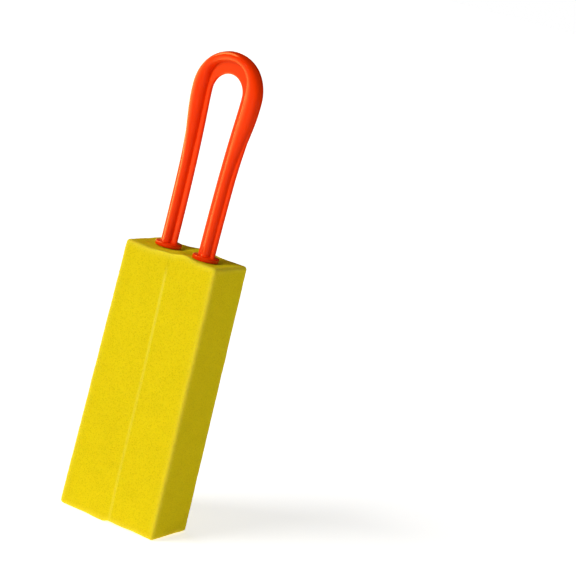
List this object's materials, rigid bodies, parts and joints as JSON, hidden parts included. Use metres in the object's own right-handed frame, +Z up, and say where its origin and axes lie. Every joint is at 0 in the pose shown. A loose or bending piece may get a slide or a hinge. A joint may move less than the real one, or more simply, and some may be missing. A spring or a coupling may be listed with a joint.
{
  "type": "foam sponge brush",
  "caption": "Foam block of bonded upright bars on the barbed prongs of a moulded plastic loop handle, for washing, wiping or dabbing on paint.",
  "frame": {"origin": "middle of the foam block's foot, on the surface that it stands on", "axes": "+Z up along the block towards the loop, +X across the wide face, -Y out of the front wide face"},
  "size_m": [0.057, 0.0336, 0.2416],
  "materials": {
    "foam": "open-cell foam, matt",
    "adhesive": "thin clear film",
    "handle_plastic": "glossy moulded"
  },
  "bodies": {
    "sponge": {"foam_bar_left": "foam", "foam_bar_right": "foam", "seam_adhesive": "adhesive"},
    "handle": {"loop_handle": "handle_plastic"}
  },
  "joints": [
    {"name": "handle_pull", "type": "slide", "parent": "sponge", "child": "handle", "axis": [0, 0, 1], "range_m": [0, 0.1]}
  ]
}
